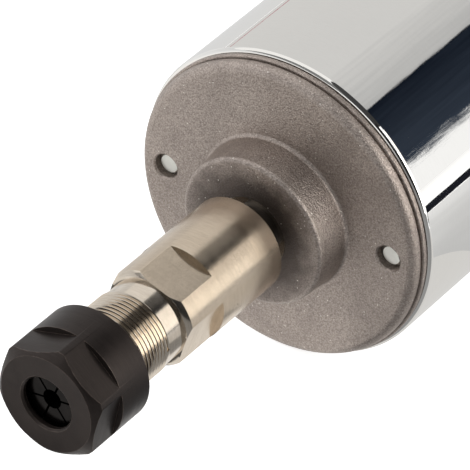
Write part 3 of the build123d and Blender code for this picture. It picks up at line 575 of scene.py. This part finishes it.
finish(
    "chrome_plate", colour(247, 246, 243), colour(242, 241, 238), 1.0, (0.015, 0.04),
    marks=(0.0002, 0.0016, 0.0000004), spots=(0.007, 0.12, 0.045, colour(70, 68, 66)),
    patch=0.02)
# The cap's finish paints light and shade: its bright spots are painted glints of the blasted
# grain, its pepper is painted shade in the grain's low spots, and its film is painted shade on the
# boss's face round the shaft.
finish(
    "blasted_casting", colour(206, 194, 186), colour(176, 165, 158), 0.94, (0.32, 0.42),
    grain=(0.0002, 0.00009), spots=(0.0006, 0.09, 0.17, colour(235, 230, 223)),
    pepper=(0.6, colour(104, 94, 88)), shaft_shade=(0.0085, 0.0128, 0.85, colour(84, 76, 72)),
    patch=0.009)
finish(
    "plain_casting", colour(172, 168, 164), colour(150, 146, 142), 0.9, (0.38, 0.52),
    grain=(0.0006, 0.00005), patch=0.01)
finish(
    "ground_steel", colour(216, 201, 182), colour(198, 184, 165), 1.0, (0.18, 0.27),
    marks=(0.00022, 0.003, 0.000006), grain=(0.0003, 0.000006),
    spots=(0.0016, 0.05, 0.07, colour(110, 96, 82)), patch=0.006)
finish(
    "bright_cut_steel", colour(226, 216, 203), colour(200, 189, 174), 1.0, (0.12, 0.2),
    marks=(0.00012, 0.004, 0.000004), patch=0.004)
# Painted shade: the motor shaft's steel is darkened to stand for the shade in the gap between the
# boss and the rod.
finish(
    "shaft_steel", colour(96, 88, 80), colour(70, 63, 57), 0.9, (0.34, 0.46),
    marks=(0.00016, 0.004, 0.000004), patch=0.005)
# Painted shade: the collet's steel is darkened to stand for the shade inside the nut's mouth.
finish(
    "collet_steel", colour(34, 31, 30), colour(18, 17, 16), 0.95, (0.14, 0.24),
    marks=(0.00014, 0.003, 0.000004), patch=0.003)
finish(
    "black_oxide", colour(56, 49, 46), colour(42, 36, 34), 0.72, (0.33, 0.45),
    marks=(0.0002, 0.003, 0.000005), grain=(0.00025, 0.000008),
    wear=(0.00018, colour(120, 108, 100)), patch=0.005)
finish(
    "plated_screws", colour(226, 226, 220), colour(205, 205, 200), 0.9, (0.25, 0.38),
    marks=(0.0003, 0.002, 0.000006), patch=0.002)
finish(
    "bearing_steel", colour(210, 208, 204), colour(190, 188, 184), 1.0, (0.1, 0.2),
    marks=(0.00012, 0.005, 0.000003), patch=0.004)
finish(
    "ferrite", colour(74, 72, 72), colour(56, 54, 54), 0.0, (0.6, 0.8),
    grain=(0.0005, 0.00004), patch=0.006)
finish(
    "lamination_steel", colour(120, 118, 120), colour(84, 82, 86), 0.9, (0.3, 0.45),
    marks=(0.0005, 0.02, 0.00003), patch=0.006)
finish(
    "enamelled_copper", colour(176, 96, 48), colour(130, 62, 30), 0.7, (0.22, 0.36),
    grain=(0.0009, 0.00012), coat=0.4, patch=0.002)
finish(
    "commutator_copper", colour(206, 140, 104), colour(166, 100, 70), 1.0, (0.2, 0.34),
    marks=(0.0003, 0.006, 0.000006), patch=0.004)
finish(
    "brown_moulding", colour(104, 62, 40), colour(84, 48, 32), 0.0, (0.35, 0.5),
    grain=(0.0005, 0.00002), patch=0.006)
finish(
    "black_moulding", colour(46, 46, 48), colour(34, 34, 36), 0.0, (0.42, 0.58),
    grain=(0.00035, 0.000035), wear=(0.0002, colour(74, 74, 76)), patch=0.01)
finish(
    "sheet_brass", colour(214, 184, 112), colour(188, 156, 88), 1.0, (0.2, 0.34),
    grain=(0.0004, 0.000006), scratches=(0.005, 0.0008, 0.2, colour(232, 210, 150), 0.000004),
    patch=0.004)
finish(
    "spring_wire", colour(190, 190, 192), colour(160, 160, 162), 1.0, (0.18, 0.3),
    grain=(0.0003, 0.000006), patch=0.003)
finish(
    "brush_carbon", colour(52, 52, 54), colour(38, 38, 40), 0.2, (0.5, 0.66),
    grain=(0.0003, 0.00003), patch=0.003)

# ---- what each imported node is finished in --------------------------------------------

NODE_FINISH = {
    "can_tube": "chrome_plate", "front_cap": "blasted_casting", "rear_bell": "plain_casting",
    "tie_bolts": "plated_screws", "bolt_washers": "plated_screws", "cover_screws": "plated_screws",
    "spring_washer": "spring_wire", "motor_shaft": "shaft_steel",
    "armature_core": "lamination_steel", "end_discs": "brown_moulding",
    "armature_windings": "enamelled_copper",
    "cooling_fan": "black_moulding", "fan_clip": "spring_wire", "fan_cover": "black_moulding",
    "spindle_rod": "ground_steel", "collet": "collet_steel", "collet_nut": "black_oxide",
    "commutator_bars": "commutator_copper", "commutator_hub": "brown_moulding",
}
for end in ("front", "rear"):
    for kind in ("outer_ring", "inner_ring", "balls", "shields"):
        NODE_FINISH[f"{end}_bearing_{kind}"] = "bearing_steel"
    NODE_FINISH[f"{end}_bearing_cage"] = "sheet_brass"
for side in ("upper", "lower"):
    NODE_FINISH.update({
        f"{side}_magnet": "ferrite", f"{side}_brush": "brush_carbon",
        f"{side}_brush_sleeve": "sheet_brass", f"{side}_brush_insulator": "brown_moulding",
        f"{side}_brush_cap": "brown_moulding", f"{side}_brush_spring": "spring_wire",
        f"{side}_terminal_tab": "sheet_brass", f"{side}_terminal_bush": "black_moulding"})

for name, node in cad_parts.items():
    for slot in node.material_slots:
        slot.material = FINISHES[NODE_FINISH[name]]


def dress(piece, finish_name, body, *nodes):
    """Finishes a new piece and lets it stand for its nodes."""
    piece.data.materials.clear()
    piece.data.materials.append(FINISHES[finish_name])
    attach(piece, body)
    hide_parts(*nodes)


# ---- the can -------------------------------------------------------------------------


def polished_can():
    """The tube, with its front edge rolled in and its rear edge rounded."""
    can = turned("polished_can", [
        (CAN_BORE_R, -CAN_LENGTH), (CAN_R, -CAN_LENGTH), (CAN_R, 0), (CAN_BORE_R, 0)], CAN_SIDES)
    round_rim(can, CAN_R, 0, CAN_ROLLED_EDGE, segments=8)
    round_rim(can, CAN_R, -CAN_LENGTH, CAN_EDGE_ROUND, segments=8)
    smooth(can)
    dress(can, "chrome_plate", "motor_housing", "can_tube")


# ---- the front cap -------------------------------------------------------------------


def blasted_cap():
    """The cap with its boss, its shoulder, the groove behind that and the bolt holes."""
    relief_r = FLANGE_R - FLANGE_RELIEF_WIDTH
    cap = turned("blasted_cap", [
        (BOSS_HOLE_R, BOSS_TOP), (BOSS_TOP_R, BOSS_TOP), (BOSS_ROOT_R, CAP_FACE),
        (SHOULDER_R, CAP_FACE), (SHOULDER_R, CAP_GROOVE_FRONT), (CAP_GROOVE_R, CAP_GROOVE_FRONT),
        (CAP_GROOVE_R, FLANGE_FRONT), (FLANGE_R, FLANGE_FRONT), (FLANGE_R, FLANGE_RELIEF),
        (relief_r, FLANGE_RELIEF), (relief_r, 0), (CAN_BORE_R, 0), (CAN_BORE_R, SPIGOT_REAR),
        (SPIGOT_INNER_R, SPIGOT_REAR), (SPIGOT_INNER_R, CAP_INSIDE), (BEARING_HUB_R, CAP_INSIDE),
        (BEARING_HUB_R, BEARING_HUB_REAR), (BEARING_R, BEARING_HUB_REAR),
        (BEARING_R, BEARING_FRONT), (BOSS_HOLE_R, BEARING_FRONT)])
    round_rim(cap, SHOULDER_R, CAP_FACE, SHOULDER_ROUND, segments=8)
    round_rim(cap, BOSS_ROOT_R, CAP_FACE, BOSS_ROOT_ROUND, segments=5)
    round_rim(cap, BOSS_TOP_R, BOSS_TOP, BOSS_TOP_ROUND, segments=6)
    round_rim(cap, FLANGE_R, FLANGE_FRONT, FLANGE_ROUND, segments=3)
    round_rim(cap, BOSS_HOLE_R, BOSS_TOP, BOSS_HOLE_ROUND, segments=3)
    sides = (0, 180)
    holes = [drill(BOLT_HOLE_R, SPIGOT_REAR - CUT_PAST, BOSS_TOP, BOLT_CIRCLE_R, angle)
             for angle in sides]
    mouths = [drill(BOLT_HOLE_R, CAP_FACE - BOLT_HOLE_CHAMFER, CAP_FACE + BOLT_HOLE_CHAMFER,
                    BOLT_CIRCLE_R, angle, tip_radius=BOLT_HOLE_R + 2 * BOLT_HOLE_CHAMFER)
              for angle in sides]
    cut(cap, holes + mouths)
    smooth(cap, angle=40)
    dress(cap, "blasted_casting", "motor_housing", "front_cap")


# ---- the chuck rod -------------------------------------------------------------------


def thread_groove():
    """A cutter in the form of one long groove that winds round the rod."""
    select_nothing()
    bpy.ops.mesh.primitive_plane_add(size=1)
    groove = bpy.context.object
    bpy.ops.object.mode_set(mode="EDIT")
    bpy.ops.mesh.select_mode(type="VERT")
    bpy.ops.mesh.select_all(action="SELECT")
    bpy.ops.mesh.merge(type="CENTER")
    root_r = THREAD_R - THREAD_DEPTH
    proud_r = THREAD_R + HAIR
    flank = (THREAD_DEPTH + HAIR) * tan(radians(THREAD_HALF_ANGLE))
    start = NECK_FRONT + THREAD_START
    corners = [(root_r, 0), (proud_r, flank), (proud_r, -THREAD_ROOT_WIDTH - flank),
               (root_r, -THREAD_ROOT_WIDTH)]
    place = Vector((root_r * MM, along(start), 0))
    bpy.ops.transform.translate(value=place)
    for radius, ahead in corners[1:] + corners[:1]:
        target = Vector((radius * MM, along(start - ahead), 0))
        bpy.ops.mesh.extrude_vertices_move(TRANSFORM_OT_translate={"value": target - place})
        place = target
    bpy.ops.mesh.select_all(action="SELECT")
    bpy.ops.mesh.remove_doubles(threshold=0.001 * MM)
    bpy.ops.object.mode_set(mode="OBJECT")
    settle(groove, "cutter")
    turns = round((ROD_FRONT - NECK_FRONT) / THREAD_PITCH) + 1
    wind = groove.modifiers.new("wind", "SCREW")
    wind.axis = "Y"
    wind.angle = -2 * pi
    wind.screw_offset = -THREAD_PITCH * MM
    wind.iterations = turns
    wind.steps = THREAD_STEPS
    wind.render_steps = THREAD_STEPS
    bpy.ops.object.modifier_apply(modifier=wind.name)
    bpy.ops.object.mode_set(mode="EDIT")
    bpy.ops.mesh.select_mode(type="EDGE")
    bpy.ops.mesh.select_all(action="DESELECT")
    bpy.ops.mesh.select_non_manifold()
    bpy.ops.mesh.fill()
    bpy.ops.mesh.select_all(action="SELECT")
    bpy.ops.mesh.normals_make_consistent(inside=False)
    bpy.ops.object.mode_set(mode="OBJECT")
    return groove


def chuck_rod():
    """The rod with its flats, neck, cut thread and collet seat.

    What lies ahead of the shoulder is brightly cut, and the rest is ground.
    """
    rod = turned("chuck_rod", [
        (HAIR, SEAT_HOLE_REAR), (SEAT_HOLE_R, SEAT_HOLE_REAR), (SEAT_HOLE_R, SEAT_REAR),
        (SEAT_REAR_R, SEAT_REAR), (SEAT_FRONT_R, ROD_FRONT),
        (THREAD_R - THREAD_FRONT_CHAMFER, ROD_FRONT), (THREAD_R, ROD_FRONT - THREAD_FRONT_CHAMFER),
        (THREAD_R, NECK_FRONT + THREAD_REAR_CHAMFER), (THREAD_R - THREAD_REAR_CHAMFER, NECK_FRONT),
        (NECK_R, NECK_FRONT), (NECK_R, ROD_SHOULDER), (ROD_R - ROD_CHAMFER, ROD_SHOULDER),
        (ROD_R, ROD_SHOULDER - ROD_CHAMFER), (ROD_R, ROD_REAR + ROD_CHAMFER),
        (ROD_R - ROD_CHAMFER, ROD_REAR), (SHAFT_R, ROD_REAR), (SHAFT_R, SHAFT_FRONT),
        (HAIR, SHAFT_FRONT)])
    cut(rod, flats_round(ROD_FLATS, FLAT_TURN, FLAT_REACH, ROD_R, FLAT_REAR,
                         ROD_SHOULDER + FLAT_OVERRUN))
    break_edges(rod, ROD_EDGE_BREAK, angle=25, segments=1)
    cut(rod, [thread_groove()])
    smooth(rod, angle=28)
    dress(rod, "ground_steel", "rotor", "spindle_rod")
    rod.data.materials.append(FINISHES["bright_cut_steel"])
    for face in rod.data.polygons:
        out = (face.center.x ** 2 + face.center.z ** 2) ** 0.5
        ahead = face.center.y < along(ROD_SHOULDER - HAIR)
        on_chamfer = (face.center.y < along(ROD_SHOULDER - ROD_CHAMFER)
                      and out < (ROD_R - 1.5 * HAIR) * MM and abs(face.normal.y) > 0.5)
        if ahead or on_chamfer:
            face.material_index = 1


# ---- the nut -------------------------------------------------------------------------


def clamping_nut():
    """The nut with its flats, its coned nose and the seat that holds the collet's ridge."""
    nut = turned("clamping_nut", [
        (NUT_MOUTH_R + NUT_MOUTH_CHAMFER, NUT_FRONT), (NUT_FACE_R, NUT_FRONT),
        (NUT_R, NUT_FRONT - NUT_NOSE_LENGTH), (NUT_R, NUT_REAR + NUT_REAR_CHAMFER),
        (NUT_R - NUT_REAR_CHAMFER, NUT_REAR), (NUT_BORE_R, NUT_REAR), (NUT_BORE_R, RIDGE_REAR),
        (RIDGE_R, RIDGE_REAR), (RIDGE_R, RIDGE_FRONT), (NUT_SEAT_R, RIDGE_FRONT),
        (NUT_SEAT_R, NUT_SEAT_REAR), (LIP_R, LIP_REAR), (NUT_MOUTH_R, LIP_REAR),
        (NUT_MOUTH_R, NUT_FRONT - NUT_MOUTH_CHAMFER)])
    cut(nut, flats_round(NUT_FLATS, NUT_TURN, NUT_FLAT_REACH, NUT_R, NUT_FLAT_REAR,
                         NUT_FRONT + CUT_PAST))
    break_edges(nut, NUT_EDGE_BREAK, angle=28, segments=2)
    smooth(nut, angle=34)
    dress(nut, "black_oxide", "nut_body", "collet_nut")


polished_can()
blasted_cap()
chuck_rod()
clamping_nut()

# ---- the brush springs ---------------------------------------------------------------

# Each brush spring gets a mesh of its own.
for side, outer in (("upper", 1), ("lower", 0)):
    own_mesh(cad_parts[f"{side}_brush_spring"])

# ---- studio, in metres ---------------------------------------------------------------

FLOOR_Z = -(CAN_R + FLOOR_GAP) * MM
FLOOR_SIZE = 8.0
SHEET_RISE = 0.0004         # of a sheet above the floor
CARD_FACETS = 12
NEAR_R = 0.30               # from the axis to the near cards
REAR_R = 0.80               # and to the farthest cards
REAR_START = 0.34           # where the rear cards start along Y


def empty_material(name):
    """A new material and its drawing, with nothing in it yet."""
    made = bpy.data.materials.new(name)
    made.use_nodes = True
    made.node_tree.nodes.clear()
    return made, made.node_tree


def mixed(tree, share, first, second):
    """A share of the second surface over the first."""
    return put(tree, "ShaderNodeMixShader", {0: share, 1: first, 2: second}).outputs[0]


def seen_straight(tree):
    """1 for what the camera sees directly, in a mirror or through glass, and otherwise 0."""
    path = put(tree, "ShaderNodeLightPath").outputs
    return sums(tree, "MAXIMUM", path["Is Camera Ray"],
                sums(tree, "MAXIMUM", path["Is Glossy Ray"], path["Is Transmission Ray"]))


def paper(name, low_tone, high_tone, low, high, round_axis, ragged):
    """A glowing cloth for a card, whose tone runs from low to high along X or round Y.

    Its low and high edges are ragged over these shares of its breadth.
    """
    made, tree = empty_material(name)
    place = put(tree, "ShaderNodeTexCoord").outputs["Object"]
    part = put(tree, "ShaderNodeSeparateXYZ", {"Vector": place}).outputs
    run = part["X"]
    if round_axis:
        turn = sums(tree, "ARCTAN2", sums(tree, "MULTIPLY", part["X"], -1.0), part["Z"])
        run = sums(tree, "ADD", sums(tree, "DEGREES", turn), 90.0)
    share = scaled(tree, run, low, high, 0.0, 1.0)
    clouds = put(tree, "ShaderNodeTexNoise", {"Vector": place, "Scale": 26.0, "Detail": 5.0})
    drift = scaled(tree, clouds.outputs[0], 0.35, 0.65, -0.12, 0.12)
    glow = put(tree, "ShaderNodeEmission", {"Color": blended(
        tree, sums(tree, "ADD", share, drift), [*low_tone, 1.0], [*high_tone, 1.0])})
    seen = glow.outputs[0]
    if ragged:
        threads = put(tree, "ShaderNodeVectorMath", {
            0: place, 1: (40.0, 520.0, 40.0)}, operation="MULTIPLY")
        fray = put(tree, "ShaderNodeTexNoise", {
            "Vector": threads.outputs[0], "Scale": 1.0, "Detail": 5.0, "Roughness": 0.7})
        reach = scaled(tree, fray.outputs[0], 0.3, 0.7, 0.0, 1.0)
        from_low = sums(tree, "SUBTRACT", share, sums(tree, "MULTIPLY", reach, ragged[0]))
        from_high = sums(tree, "SUBTRACT", sums(tree, "SUBTRACT", 1.0, share),
                         sums(tree, "MULTIPLY", reach, ragged[1]))
        there = sums(tree, "GREATER_THAN", sums(tree, "MINIMUM", from_low, from_high), 0.0)
        clear = put(tree, "ShaderNodeBsdfTransparent")
        seen = mixed(tree, there, clear.outputs[0], seen)
    put(tree, "ShaderNodeOutputMaterial", {"Surface": seen})
    return made


def card(name, steps, near, far, material):
    """A card through some (x, z) places, from near to far along Y, seen only in mirrors."""
    select_nothing()
    bpy.ops.mesh.primitive_grid_add(x_subdivisions=len(steps) - 1, y_subdivisions=1, size=1)
    made = bpy.context.object
    for vertex in made.data.vertices:
        x, z = steps[round((vertex.co.x + 0.5) * (len(steps) - 1))]
        vertex.co = (x, near if vertex.co.y < 0 else far, z)
    made.name = name
    made.data.materials.append(material)
    for kind in ("camera", "diffuse", "transmission", "shadow", "volume_scatter"):
        setattr(made, "visible_" + kind, False)


def arch(name, distance, low, high, near, far, tone, other_tone=None, ragged=None):
    """A card bent round the axis between two angles, at a distance from it."""
    angles = [radians(low + (high - low) * i / CARD_FACETS) for i in range(CARD_FACETS + 1)]
    card(name, [(distance * cos(a), distance * sin(a)) for a in angles], near, far,
         paper(name, tone, other_tone or tone, low, high, True, ragged))


def sheet(name, low, high, near, far, tone, other_tone=None, ragged=None, rise=SHEET_RISE):
    """A card laid on the floor from low to high along X."""
    card(name, [(low, FLOOR_Z + rise), (high, FLOOR_Z + rise)], near, far,
         paper(name, tone, other_tone or tone, low, high, False, ragged))


def grey(tone, warmth=0.0):
    """A grey that loses some of its blue, and less of its green, as it gets warmer."""
    return (tone, tone * (1 - 0.4 * warmth), tone * (1 - warmth))


# The can's side mirrors the rear cards. The rod, the nut and the cap's edges mirror the
# near ones.
arch("rear_dark_flag", 0.62, 12.0, 66.0, REAR_START, 2.0, (0.035, 0.046, 0.066),
     (0.007, 0.010, 0.017), ragged=(0.28, 0.05))
arch("rear_roof_near", REAR_R, 60.0, 100.0, REAR_START, 2.4, grey(0.46), grey(0.66, 0.02))
arch("rear_roof_far", REAR_R, 100.0, 184.0, REAR_START, 2.4, grey(0.66, 0.02), grey(0.68, 0.03))
arch("rear_red_line", 0.70, 177.0, 178.2, REAR_START, 2.4, (0.42, 0.10, 0.14), ragged=(0.5, 0.5))
arch("side_softbox_back", NEAR_R, -12.0, 48.0, 0.222, 0.237, grey(2.1, 0.1), ragged=(0.06, 0.06))
arch("side_softbox", NEAR_R, -12.0, 48.0, 0.06, 0.222, grey(1.5, 0.1))
arch("side_softbox_front", NEAR_R, -12.0, 34.0, -0.08, 0.06, grey(4.0, 0.06))
arch("side_dark_wall", NEAR_R, -16.0, 54.0, -1.0, -0.08, grey(0.03), grey(0.02))
arch("middle_dark_flag", NEAR_R, 54.0, 91.0, 0.19, 0.240, grey(0.02), grey(0.05))
arch("front_dark_flag", NEAR_R, 51.0, 88.0, -1.0, 0.19, grey(0.04), grey(0.06))
arch("middle_roof", NEAR_R, 92.0, 150.0, 0.19, 0.236, grey(1.05, 0.03), grey(0.95, 0.03))
arch("front_roof", NEAR_R, 90.0, 150.0, -0.15, 0.19, grey(0.95, 0.03))
arch("front_dark_roof", NEAR_R, 88.0, 150.0, -1.0, -0.15, grey(0.2))
arch("front_wall", NEAR_R, 150.0, 184.0, -1.0, 0.236, grey(0.7), grey(0.9))

sheet("sheet_left", -0.7, -0.05, 0.03, 2.0, grey(0.74), grey(0.72))
sheet("sheet_under", -0.05, 0.03, 0.03, 2.0, grey(0.72), grey(0.56))
sheet("sheet_right", 0.03, 0.13, 0.03, 2.0, grey(0.56), grey(0.84))
sheet("sheet_edge", 0.13, 0.192, 0.03, 2.0, (0.012, 0.013, 0.018), ragged=(0.1, 0.1))
sheet("sheet_front", -0.7, 0.012, -1.2, -0.004, grey(0.95, 0.04))
sheet("sheet_dark_side", 0.012, 0.5, -1.2, -0.004, grey(0.3), grey(0.1))
sheet("sheet_front_left", -0.7, 0.0, -0.004, 0.03, grey(0.85, 0.04))
sheet("sheet_front_right", 0.0, 0.13, -0.004, 0.03, grey(0.68, 0.04))
sheet("sheet_shadow", -0.036, -0.004, -0.078, -0.022, grey(0.10, 0.04), rise=2 * SHEET_RISE)


def pale_floor():
    """A white floor that keeps the object's shadow and lights the object only softly."""
    made, tree = empty_material("pale_floor")
    lit = put(tree, "ShaderNodeBsdfDiffuse", {"Color": colour(215, 215, 215)})
    glow = put(tree, "ShaderNodeEmission", {"Color": (1, 1, 1, 1), "Strength": 0.75})
    bright = put(tree, "ShaderNodeAddShader", {0: lit.outputs[0], 1: glow.outputs[0]})
    plain = put(tree, "ShaderNodeBsdfDiffuse", {"Color": colour(225, 225, 225)})
    put(tree, "ShaderNodeOutputMaterial", {"Surface": mixed(
        tree, seen_straight(tree), plain.outputs[0], bright.outputs[0])})
    return made


select_nothing()
bpy.ops.mesh.primitive_plane_add(size=FLOOR_SIZE, location=(0, 0, FLOOR_Z))
floor = bpy.context.object
floor.name = "floor"
floor.data.materials.append(pale_floor())


def white_world():
    """White where it is seen, and dimmer as a light."""
    world = bpy.data.worlds.new("studio")
    world.use_nodes = True
    tree = world.node_tree
    tree.nodes.clear()
    strength = scaled(tree, seen_straight(tree), 0.0, 1.0, 0.45, 1.0)
    sky = put(tree, "ShaderNodeBackground", {"Color": (1, 1, 1, 1), "Strength": strength})
    put(tree, "ShaderNodeOutputWorld", {"Surface": sky.outputs[0]})
    return world


bpy.context.scene.world = white_world()


def softbox(name, place, size, power):
    """A square lamp that faces the origin."""
    light = bpy.data.lights.new(name, "AREA")
    light.shape = "SQUARE"
    light.size = size
    light.energy = power
    lamp = bpy.data.objects.new(name, light)
    bpy.context.scene.collection.objects.link(lamp)
    lamp.location = place
    lamp.rotation_euler = (-Vector(place)).to_track_quat("-Z", "Y").to_euler()


softbox("key_softbox", (-0.6, -0.7, 0.9), 0.6, 8.0)
softbox("fill_softbox", (0.8, -0.5, 0.8), 0.7, 2.5)

bpy.context.scene.view_settings.view_transform = "Standard"
